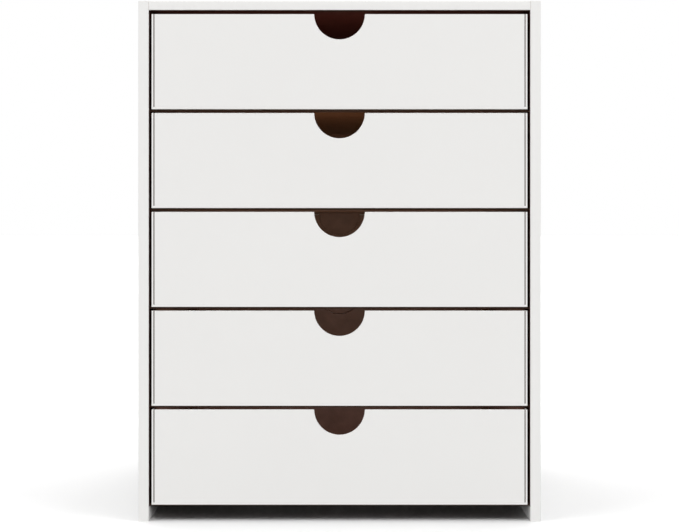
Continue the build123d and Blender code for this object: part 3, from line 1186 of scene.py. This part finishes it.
def dowel_tree(sizes):
    """Fluted dowels with chamfered ends, along X about each seat."""
    sheet, given, result = fitting_tree("Fluted dowel", sizes)
    half = sheet.times(given["Length"], 0.5)
    radius = given["Radius"]
    chamfer = given["Chamfer"]
    narrow = sheet.less(radius, chamfer)
    rings = [
        (narrow, sheet.times(half, -1.0)),
        (radius, sheet.less(chamfer, half)),
        (radius, sheet.less(half, chamfer)),
        (narrow, half),
    ]
    rod = turned(sheet, rings, sheet.times(given["Flutes"], POINTS_TO_A_FLUTE))
    index = sheet.place("GeometryNodeInputIndex").outputs[0]
    in_groove = sheet.math("MODULO", index, POINTS_TO_A_FLUTE)
    place = sheet.parts(sheet.place("GeometryNodeInputPosition").outputs[0])
    flute = sheet.over(sheet.times(in_groove, given["Flute Depth"]), radius)
    inward = sheet.times(flute, -1.0)
    offset = sheet.vector(sheet.times(place["X"], inward), sheet.times(place["Y"], inward))
    fluted = sheet.place("GeometryNodeSetPosition", {"Geometry": rod, "Offset": offset}).outputs[0]
    return set_out(sheet, given, result, fluted, sheet.vector(y=math.pi / 2))


def cam_bolt_tree(sizes):
    """Cam bolts, each with its threaded end outwards along X and its seat where the thread ends."""
    sheet, given, result = fitting_tree("Cam bolt", sizes)
    shank = given["Shank Radius"]
    neck = given["Neck Radius"]
    head = given["Head Radius"]
    thread_depth = sheet.times(given["Thread Radius"], BOLT_THREAD_DEPTH)
    thread = threaded(sheet, given["Thread Radius"], thread_depth, given["Pitch"],
                      given["Thread Length"], BOLT_SEGMENTS, BOLT_THREAD_STEPS)
    thread = moved(sheet, thread, sheet.vector(z=sheet.times(given["Thread Length"], -1.0)))
    collar = sheet.times(head, BOLT_COLLAR_WIDTH)
    far_end = given["Shank Length"]
    neck_start = sheet.less(far_end, sheet.add(given["Head Length"], given["Neck Length"]))
    head_start = sheet.less(far_end, given["Head Length"])
    rings = [
        (sheet.times(shank, BOLT_ROOT), sheet.times(given["Collar"], -0.5)),
        (sheet.times(shank, BOLT_ROOT_TOP), 0.0),
        (collar, 0.0),
        (collar, given["Collar"]),
        (shank, given["Collar"]),
        (shank, sheet.less(neck_start, BOLT_NECK_EASE)),
        (neck, sheet.add(neck_start, BOLT_NECK_EASE)),
        (neck, head_start),
        (sheet.times(head, BOLT_HEAD_BACK), head_start),
        (head, sheet.add(head_start, BOLT_HEAD_EASE)),
        (head, sheet.less(far_end, BOLT_TIP_EASE)),
        (sheet.times(head, BOLT_HEAD_TIP), far_end),
    ]
    bolt = joined(sheet, thread, turned(sheet, rings, BOLT_SEGMENTS))
    arm_length = sheet.times(head, BOLT_CROSS[0])
    arm_depth = sheet.times(given["Head Length"], BOLT_CROSS[1])
    arms = cross(sheet, arm_length, BOLT_CROSS_WIDTH, arm_depth, sheet.vector(z=far_end))
    bolt = cut_away(sheet, bolt, *arms)
    lean = sheet.times(side_of_seat(sheet), -math.pi / 2)
    return set_out(sheet, given, result, bolt, sheet.vector(y=lean))


def cam_lock_tree(sizes):
    """Cast cams, faces down at each seat, each with a channel towards its side of the case."""
    sheet, given, result = fitting_tree("Cam lock", sizes)
    radius = given["Radius"]
    height = given["Height"]
    edge = given["Edge"]
    narrow = sheet.less(radius, edge)
    rings = [
        (narrow, 0.0),
        (radius, edge),
        (radius, sheet.less(height, edge)),
        (narrow, height),
    ]
    body = turned(sheet, rings, CAM_SEGMENTS)
    channel_length = sheet.add(radius, given["Reach"])
    channel_middle = sheet.times(sheet.less(radius, given["Reach"]), 0.5)
    channel = block(
        sheet, sheet.vector(channel_length, given["Channel"], given["Channel"]),
        sheet.vector(channel_middle, 0.0, given["Channel Height"]),
    )
    arm_length = sheet.times(radius, CAM_CROSS[0])
    arm_depth = sheet.times(height, CAM_CROSS[1])
    arms = cross(sheet, arm_length, given["Cross"], arm_depth, sheet.vector())
    mark = sheet.place("GeometryNodeMeshCone", {
        "Vertices": 3, "Radius Top": CAM_MARK_RADIUS, "Radius Bottom": CAM_MARK_RADIUS,
        "Depth": CAM_MARK_DEPTH,
    }).outputs["Mesh"]
    mark = moved(sheet, mark, sheet.vector(x=sheet.times(radius, CAM_MARK_PLACE)))
    cam = cut_away(sheet, body, channel, *arms, mark)
    half_turn = sheet.times(sheet.less(1.0, side_of_seat(sheet)), math.pi / 2)
    return set_out(sheet, given, result, cam, sheet.vector(z=half_turn))


def drawer_screw_tree(sizes):
    """Countersunk screws with cross recesses, heads down at each seat and points up."""
    sheet, given, result = fitting_tree("Drawer screw", sizes)
    length = given["Length"]
    head = given["Head Radius"]
    height = given["Head Height"]
    thread_length = sheet.less(length, sheet.times(height, SCREW_THREAD_START))
    thread_depth = sheet.times(given["Thread Radius"], SCREW_THREAD_DEPTH)
    thread = threaded(sheet, given["Thread Radius"], thread_depth, given["Pitch"],
                      thread_length, SCREW_SEGMENTS, SCREW_THREAD_STEPS)
    thread = moved(sheet, thread, sheet.vector(z=length), turn=(math.pi, 0.0, 0.0))
    core = sheet.times(given["Thread Radius"], SCREW_CORE)
    rings = [
        (sheet.times(head, SCREW_RIM), 0.0),
        (head, sheet.times(height, SCREW_RIM_HEIGHT)),
        (core, height),
        (core, sheet.times(height, SCREW_NECK_HEIGHT)),
    ]
    screw = joined(sheet, thread, turned(sheet, rings, SCREW_HEAD_SEGMENTS))
    arm_length = sheet.times(head, SCREW_CROSS[0])
    arm_depth = sheet.times(height, SCREW_CROSS[1])
    arms = cross(sheet, arm_length, given["Cross"], arm_depth, sheet.vector())
    screw = cut_away(sheet, screw, *arms)
    spin = random_turn(sheet, given["Seed"])
    return set_out(sheet, given, result, screw, sheet.vector(z=spin))


def grown_mesh(name, tree, seats, sizes, material):
    """The plain mesh that a fitting's tree makes on its seats."""
    mesh = bpy.data.meshes.new(f"{name}_seats")
    mesh.from_pydata(seats, [], [])
    holder = bpy.data.objects.new(f"{name}_seats", mesh)
    bpy.context.scene.collection.objects.link(holder)
    modifier = holder.modifiers.new(tree.name, "NODES")
    modifier.node_group = tree
    identifiers = {item.name: item.identifier for item in tree.interface.items_tree
                   if item.in_out == "INPUT"}
    for label, value in sizes.items():
        modifier[identifiers[label]] = value
    modifier[identifiers["Finish"]] = material
    bpy.context.view_layer.update()
    seen = bpy.context.evaluated_depsgraph_get()
    grown = bpy.data.meshes.new_from_object(holder.evaluated_get(seen), depsgraph=seen)
    holder.modifiers.clear()
    bpy.data.objects.remove(holder)
    bpy.data.meshes.remove(mesh)
    grown.name = name
    if not grown.polygons:
        raise RuntimeError(f"{tree.name} made no faces on {len(seats)} seats")
    return grown


def add_fittings(name, node, tree, seats, sizes, material):
    """A group of like fittings as one piece."""
    mesh = grown_mesh(name, tree, seats, sizes, material)
    add_piece(mesh, name, node, TURNED_SMOOTH_ANGLE)


# Operators, one for each piece or group of like pieces

class CHEST_OT_side_panels(bpy.types.Operator):
    """Build the two full-height sides of the case"""

    bl_idname = "chest.side_panels"
    bl_label = "Side Panels"

    def execute(self, context):
        for side_name, direction in SIDES.items():
            add_side_panel(side_name, direction)
        return {"FINISHED"}


class CHEST_OT_top_panel(bpy.types.Operator):
    """Build the top, which stands between the sides"""

    bl_idname = "chest.top_panel"
    bl_label = "Top Panel"

    def execute(self, context):
        add_top_panel()
        return {"FINISHED"}


class CHEST_OT_rails(bpy.types.Operator):
    """Build the two rails across the base"""

    bl_idname = "chest.rails"
    bl_label = "Rails"

    def execute(self, context):
        add_rail("front_rail")
        add_rail("rear_rail")
        return {"FINISHED"}


class CHEST_OT_back_panel(bpy.types.Operator):
    """Build the hardboard back"""

    bl_idname = "chest.back_panel"
    bl_label = "Back Panel"

    def execute(self, context):
        add_back_panel()
        return {"FINISHED"}


class CHEST_OT_shelves(bpy.types.Operator):
    """Build the thin shelves that carry the drawers"""

    bl_idname = "chest.shelves"
    bl_label = "Shelves"

    def execute(self, context):
        for node in SHELVES:
            add_shelf(node)
        return {"FINISHED"}


class CHEST_OT_nails(bpy.types.Operator):
    """Set out the nails of the back panel"""

    bl_idname = "chest.nails"
    bl_label = "Back Panel Nails"

    def execute(self, context):
        chosen = context.scene.chest_fittings
        boxes = solid_boxes("back_panel_nails")
        low, high = boxes[0]
        seats = [((low.x + high.x) / 2, high.y - chosen.nail_head, (low.z + high.z) / 2)
                 for low, high in boxes]
        sizes = {
            "Head Radius": (high.x - low.x) / 2, "Head Height": chosen.nail_head,
            "Shank Radius": chosen.nail_shank, "Length": high.y - low.y - chosen.nail_head,
            "Point Length": chosen.nail_point, "Seed": chosen.turn_seed,
        }
        add_fittings("panel_nails", "back_panel_nails", nail_tree(sizes), seats, sizes,
                     finish("Zinc plate", build_zinc_plate))
        return {"FINISHED"}


class CHEST_OT_dowels(bpy.types.Operator):
    """Set out the wooden dowels of the top and the rails"""

    bl_idname = "chest.dowels"
    bl_label = "Dowels"

    def execute(self, context):
        chosen = context.scene.chest_fittings
        boxes = solid_boxes("dowels")
        low, high = boxes[0]
        seats = [tuple((low + high) / 2) for low, high in boxes]
        sizes = {
            "Radius": (high.z - low.z) / 2, "Length": high.x - low.x,
            "Chamfer": chosen.dowel_chamfer, "Flutes": chosen.dowel_flutes,
            "Flute Depth": chosen.dowel_flute_depth,
        }
        add_fittings("fluted_dowels", "dowels", dowel_tree(sizes), seats, sizes,
                     finish("Crosswise beech", build_crosswise_beech))
        return {"FINISHED"}


class CHEST_OT_cam_bolts(bpy.types.Operator):
    """Set out the bolts that draw the sides and the top together"""

    bl_idname = "chest.cam_bolts"
    bl_label = "Cam Bolts"

    def execute(self, context):
        chosen = context.scene.chest_fittings
        boxes = solid_boxes("cam_bolts")
        joint_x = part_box("top_panel")[1].x
        low, high = boxes[-1]
        seats = [(math.copysign(joint_x, low.x), (low.y + high.y) / 2, (low.z + high.z) / 2)
                 for low, high in boxes]
        sizes = {
            "Head Radius": (high.z - low.z) / 2, "Shank Radius": chosen.bolt_shank,
            "Neck Radius": chosen.bolt_neck, "Neck Length": chosen.bolt_neck_length,
            "Head Length": chosen.bolt_head_length, "Shank Length": joint_x - low.x,
            "Thread Radius": chosen.bolt_shank + BOLT_THREAD_RISE * chosen.bolt_collar,
            "Thread Length": high.x - joint_x,
            "Pitch": chosen.bolt_pitch, "Collar": chosen.bolt_collar,
        }
        add_fittings("cam_bolt_set", "cam_bolts", cam_bolt_tree(sizes), seats, sizes,
                     finish("Zinc plate", build_zinc_plate))
        return {"FINISHED"}


class CHEST_OT_cam_locks(bpy.types.Operator):
    """Set out the round cams in the underside of the top"""

    bl_idname = "chest.cam_locks"
    bl_label = "Cam Locks"

    def execute(self, context):
        chosen = context.scene.chest_fittings
        boxes = solid_boxes("cam_locks")
        low, high = boxes[-1]
        seats = [((low.x + high.x) / 2, (low.y + high.y) / 2, low.z) for low, high in boxes]
        top_low, top_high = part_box("top_panel")
        sizes = {
            "Radius": (high.x - low.x) / 2, "Height": high.z - low.z, "Edge": chosen.cam_edge,
            "Channel": chosen.cam_channel, "Reach": chosen.cam_reach,
            "Channel Height": (top_low.z + top_high.z) / 2 - low.z, "Cross": 2 * chosen.cross_width,
        }
        add_fittings("cam_lock_set", "cam_locks", cam_lock_tree(sizes), seats, sizes,
                     finish("Zinc casting", build_zinc_casting))
        return {"FINISHED"}


class CHEST_OT_drawer_ends(bpy.types.Operator):
    """Build the notched fronts and backs of the drawers"""

    bl_idname = "chest.drawer_ends"
    bl_label = "Drawer Fronts and Backs"

    def execute(self, context):
        for drawer in DRAWERS:
            add_drawer_end(f"{drawer}_front", -1)
            add_drawer_end(f"{drawer}_back", 1)
        return {"FINISHED"}


class CHEST_OT_drawer_walls(bpy.types.Operator):
    """Build the side walls of the drawers"""

    bl_idname = "chest.drawer_walls"
    bl_label = "Drawer Walls"

    def execute(self, context):
        for drawer in DRAWERS:
            for side_name, direction in SIDES.items():
                add_drawer_wall(f"{drawer}_{side_name}_wall", direction)
        return {"FINISHED"}


class CHEST_OT_drawer_bottoms(bpy.types.Operator):
    """Build the bottoms of the drawers"""

    bl_idname = "chest.drawer_bottoms"
    bl_label = "Drawer Bottoms"

    def execute(self, context):
        for drawer in DRAWERS:
            add_drawer_bottom(f"{drawer}_bottom")
        return {"FINISHED"}


class CHEST_OT_corner_posts(bpy.types.Operator):
    """Build the posts inside the corners of the drawers"""

    bl_idname = "chest.corner_posts"
    bl_label = "Corner Posts"

    def execute(self, context):
        for drawer in DRAWERS:
            add_corner_posts(f"{drawer}_corner_posts")
        return {"FINISHED"}


class CHEST_OT_drawer_screws(bpy.types.Operator):
    """Set out the screws under the drawers"""

    bl_idname = "chest.drawer_screws"
    bl_label = "Drawer Screws"

    def execute(self, context):
        chosen = context.scene.chest_fittings
        tree = None
        for number, drawer in enumerate(DRAWERS):
            node = f"{drawer}_screws"
            boxes = solid_boxes(node)
            low, high = boxes[0]
            seats = [((low.x + high.x) / 2, (low.y + high.y) / 2, low.z) for low, high in boxes]
            sizes = {
                "Head Radius": (high.x - low.x) / 2, "Head Height": chosen.screw_head,
                "Thread Radius": chosen.screw_radius, "Length": high.z - low.z,
                "Pitch": chosen.screw_pitch, "Cross": chosen.cross_width,
                "Seed": chosen.turn_seed + number,
            }
            tree = tree or drawer_screw_tree(sizes)
            add_fittings(f"{node}_set", node, tree, seats, sizes,
                         finish("Zinc plate", build_zinc_plate))
        return {"FINISHED"}


class CHEST_OT_studio(bpy.types.Operator):
    """Build the floor, the camera and the lights"""

    bl_idname = "chest.studio"
    bl_label = "Studio"

    def execute(self, context):
        add_floor()
        add_camera()
        add_surroundings()
        add_lights()
        return {"FINISHED"}


# Studio

FLOOR_NAME = "studio_floor"
FLOOR_HALF_WIDTH = 40.0
FLOOR_CELLS = 8
SENSOR_WIDTH = 36.0
PURE_WHITE = (1.0, 1.0, 1.0, 1.0)
BACKDROP_STRENGTH = 1.0

# Width and height of the light inside a drawer, as shares of its front
DRAWER_LIGHT_SPREAD = (0.92, 0.7)

# Name, azimuth, elevation and softness in degrees, and strength
CHEST_LIGHTS = (
    ("key_light", 40, 35, 45, 2.2),
    ("fill_light", -50, 30, 60, 1.66),
    ("rear_light", 180, 25, 60, 1.1),
)
FLOOR_LIGHTS = (
    ("floor_left", -75, 45, 40, 1.46),
    ("floor_right", 75, 45, 40, 1.19),
    ("floor_right_low", 75, 20, 40, 0.61),
    ("floor_front", 8, 70, 40, 0.95),
    ("floor_rear_left", -135, 45, 40, 1.04),
    ("floor_rear_right", 135, 45, 40, 0.9),
    ("floor_rear", 180, 45, 40, 0.57),
)
# Share of the full power, and tint, from the highest drawer to the lowest
DRAWER_LIGHTS = (
    (0.22, (1.0, 0.45, 0.4)),
    (0.56, (1.0, 0.74, 0.42)),
    (0.84, (1.0, 0.9, 0.7)),
    (0.88, (1.0, 0.95, 0.85)),
    (1.0, (1.0, 0.98, 0.97)),
)


def add_floor():
    """A wide pale floor under the chest."""
    shape = bmesh.new()
    bmesh.ops.create_grid(shape, x_segments=FLOOR_CELLS, y_segments=FLOOR_CELLS,
                          size=FLOOR_HALF_WIDTH)
    mesh = bpy.data.meshes.new(FLOOR_NAME)
    shape.to_mesh(mesh)
    shape.free()
    mesh.materials.append(finish("Floor paint", build_floor_paint))
    floor = bpy.data.objects.new(FLOOR_NAME, mesh)
    bpy.context.scene.collection.objects.link(floor)


def add_camera():
    """A level camera square to the drawer fronts."""
    studio = bpy.context.scene.chest_studio
    low, high = cad_box
    data = bpy.data.cameras.new("studio_camera")
    data.lens = studio.lens
    data.sensor_width = SENSOR_WIDTH
    data.shift_y = studio.lens_shift
    camera = bpy.data.objects.new("studio_camera", data)
    camera.location = ((low.x + high.x) / 2, low.y - studio.camera_distance, studio.camera_height)
    camera.rotation_euler = (math.pi / 2, 0.0, 0.0)
    bpy.context.scene.collection.objects.link(camera)
    bpy.context.scene.camera = camera


def add_surroundings():
    """A white backdrop for the camera, and an even dome of softer light for everything else."""
    studio = bpy.context.scene.chest_studio
    bpy.context.scene.view_settings.view_transform = "Standard"
    world = bpy.data.worlds.new("studio_dome")
    world.use_nodes = True
    world.node_tree.nodes.clear()
    sheet = Sheet(world.node_tree)
    backdrop_inputs = {"Color": PURE_WHITE, "Strength": BACKDROP_STRENGTH}
    backdrop = sheet.place("ShaderNodeBackground", backdrop_inputs)
    dome = sheet.place("ShaderNodeBackground", {"Color": PURE_WHITE, "Strength": studio.dome})
    seen = sheet.place("ShaderNodeLightPath").outputs["Is Camera Ray"]
    mixed = sheet.place("ShaderNodeMixShader", {0: seen, 1: dome.outputs[0], 2: backdrop.outputs[0]})
    sheet.place("ShaderNodeOutputWorld", {"Surface": mixed.outputs[0]})
    bpy.context.scene.world = world


def receivers(name, piece, link_state):
    """One piece as the only one that a light shines on, or as the only one that it doesn't."""
    group = bpy.data.collections.new(name)
    group.objects.link(bpy.data.objects[piece])
    group.collection_objects[0].light_linking.link_state = link_state
    return group


def add_sun(name, azimuth, elevation, softness, strength, group):
    """A broad soft light from far away. Azimuth 0 is in front, and 90 on the right."""
    data = bpy.data.lights.new(name, "SUN")
    data.energy = strength
    data.angle = math.radians(softness)
    sun = bpy.data.objects.new(name, data)
    around = math.radians(azimuth)
    above = math.radians(elevation)
    towards = Vector((
        math.sin(around) * math.cos(above), -math.cos(around) * math.cos(above), math.sin(above),
    ))
    sun.rotation_euler = towards.to_track_quat("Z", "Y").to_euler()
    sun.light_linking.receiver_collection = group
    bpy.context.scene.collection.objects.link(sun)


def add_drawer_light(drawer, power, tint):
    """A weak light behind a drawer's front, on its brown boards, so that its inside can be seen."""
    low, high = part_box(f"{drawer}_front")
    data = bpy.data.lights.new(f"{drawer}_light", "AREA")
    data.shape = "RECTANGLE"
    data.size = DRAWER_LIGHT_SPREAD[0] * (high.x - low.x)
    data.size_y = DRAWER_LIGHT_SPREAD[1] * (high.z - low.z)
    data.energy = power
    data.color = tint
    light = bpy.data.objects.new(f"{drawer}_light", data)
    light.location = ((low.x + high.x) / 2, high.y + SKIN, (low.z + high.z) / 2)
    light.rotation_euler = (math.pi / 2, 0.0, 0.0)
    light.visible_camera = False
    light.visible_glossy = False
    posts = posts_name(f"{drawer}_corner_posts")
    light.light_linking.receiver_collection = receivers(f"lit_{drawer}", posts, "EXCLUDE")
    bpy.context.scene.collection.objects.link(light)


def add_lights():
    """The lights of the chest, those of the floor, and one inside each drawer."""
    studio = bpy.context.scene.chest_studio
    chest_only = receivers("lit_chest", FLOOR_NAME, "EXCLUDE")
    floor_only = receivers("lit_floor", FLOOR_NAME, "INCLUDE")
    for name, azimuth, elevation, softness, strength in CHEST_LIGHTS:
        add_sun(name, azimuth, elevation, softness, strength * studio.chest_light, chest_only)
    for name, azimuth, elevation, softness, strength in FLOOR_LIGHTS:
        add_sun(name, azimuth, elevation, softness, strength * studio.floor_light, floor_only)
    for drawer, (share, tint) in zip(DRAWERS, DRAWER_LIGHTS):
        add_drawer_light(drawer, share * studio.drawer_light, tint)


# Panel and registration

STEPS = (
    "side_panels", "top_panel", "rails", "back_panel", "shelves", "nails", "dowels",
    "cam_bolts", "cam_locks", "drawer_ends", "drawer_walls", "drawer_bottoms", "corner_posts",
    "drawer_screws", "studio",
)


class CHEST_PT_maker(bpy.types.Panel):
    """Lists the steps that build the chest, and their settings"""

    bl_idname = "CHEST_PT_maker"
    bl_label = "Chest of Drawers"
    bl_space_type = "VIEW_3D"
    bl_region_type = "UI"
    bl_category = "Chest"

    def draw(self, context):
        layout = self.layout
        for step in STEPS:
            layout.operator(f"chest.{step}")
        for title, settings in (
            ("Boards", context.scene.chest_boards), ("Fittings", context.scene.chest_fittings),
            ("Finishes", context.scene.chest_finishes), ("Studio", context.scene.chest_studio),
        ):
            box = layout.box()
            box.label(text=title)
            for name in settings.__annotations__:
                box.prop(settings, name)


SETTINGS = {
    "chest_boards": ChestBoardSettings,
    "chest_fittings": ChestFittingSettings,
    "chest_finishes": ChestFinishSettings,
    "chest_studio": ChestStudioSettings,
}
CLASSES = (
    *SETTINGS.values(),
    CHEST_OT_side_panels, CHEST_OT_top_panel, CHEST_OT_rails, CHEST_OT_back_panel, CHEST_OT_shelves,
    CHEST_OT_nails, CHEST_OT_dowels, CHEST_OT_cam_bolts, CHEST_OT_cam_locks, CHEST_OT_drawer_ends,
    CHEST_OT_drawer_walls, CHEST_OT_drawer_bottoms, CHEST_OT_corner_posts, CHEST_OT_drawer_screws,
    CHEST_OT_studio, CHEST_PT_maker,
)


def register():
    for item in CLASSES:
        bpy.utils.register_class(item)
    for name, settings in SETTINGS.items():
        setattr(bpy.types.Scene, name, PointerProperty(type=settings))


def unregister():
    for name in SETTINGS:
        delattr(bpy.types.Scene, name)
    for item in reversed(CLASSES):
        bpy.utils.unregister_class(item)


def main():
    """Builds everything."""
    register()
    for step in STEPS:
        getattr(bpy.ops.chest, step)()


if __name__ == "__main__":
    main()
